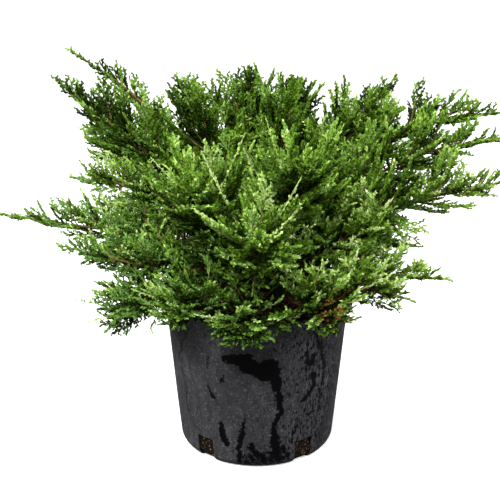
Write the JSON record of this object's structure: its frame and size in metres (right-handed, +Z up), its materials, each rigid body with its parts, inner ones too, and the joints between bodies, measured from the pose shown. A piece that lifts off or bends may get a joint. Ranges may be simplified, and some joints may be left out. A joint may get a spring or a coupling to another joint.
{
  "type": "potted spreading juniper",
  "caption": "Low spreading evergreen shrub with upswept feathery sprays, standing in a round black plastic nursery pot of potting mix with cut-outs round its bottom edge.",
  "frame": {"origin": "centre of the pot's flat underside", "axes": "+Z up along the pot's axis; +Y to the back of the plant, the view from -Y showing its front; +X to the right"},
  "size_m": [0.7493, 0.6348, 0.5738],
  "materials": {
    "pot": "black moulded plastic, dusty, with dried drips",
    "potting_mix": "damp bark potting mix, rough",
    "bark": "red-brown flaking bark",
    "foliage": "matt green needles"
  },
  "bodies": {
    "root": {"pot": "pot", "potting_mix": "potting_mix", "stem": "bark", "bough_east": "bark", "bough_east_high": "bark", "bough_east_low": "bark", "bough_east_mid": "bark", "bough_north": "bark", "bough_north_far_west": "bark", "bough_north_low": "bark", "bough_northeast": "bark", "bough_northeast_low": "bark", "bough_northwest": "bark", "bough_northwest_high": "bark", "bough_northwest_low": "bark", "bough_south": "bark", "bough_south_low": "bark", "bough_south_low_east": "bark", "bough_south_low_west": "bark", "bough_south_mid": "bark", "bough_southeast": "bark", "bough_southeast_low": "bark", "bough_southwest": "bark", "bough_southwest_low": "bark", "bough_top": "bark", "bough_top_east": "bark", "bough_top_north": "bark", "bough_top_west": "bark", "bough_west": "bark", "bough_west_low": "bark", "bough_west_mid": "bark", "foliage_east": "foliage", "foliage_east_high": "foliage", "foliage_east_low": "foliage", "foliage_east_mid": "foliage", "foliage_north": "foliage", "foliage_north_far_west": "foliage", "foliage_north_low": "foliage", "foliage_northeast": "foliage", "foliage_northeast_low": "foliage", "foliage_northwest": "foliage", "foliage_northwest_high": "foliage", "foliage_northwest_low": "foliage", "foliage_south": "foliage", "foliage_south_low": "foliage", "foliage_south_low_east": "foliage", "foliage_south_low_west": "foliage", "foliage_south_mid": "foliage", "foliage_southeast": "foliage", "foliage_southeast_low": "foliage", "foliage_southwest": "foliage", "foliage_southwest_low": "foliage", "foliage_top": "foliage", "foliage_top_east": "foliage", "foliage_top_north": "foliage", "foliage_top_west": "foliage", "foliage_west": "foliage", "foliage_west_low": "foliage", "foliage_west_mid": "foliage"}
  },
  "joints": []
}
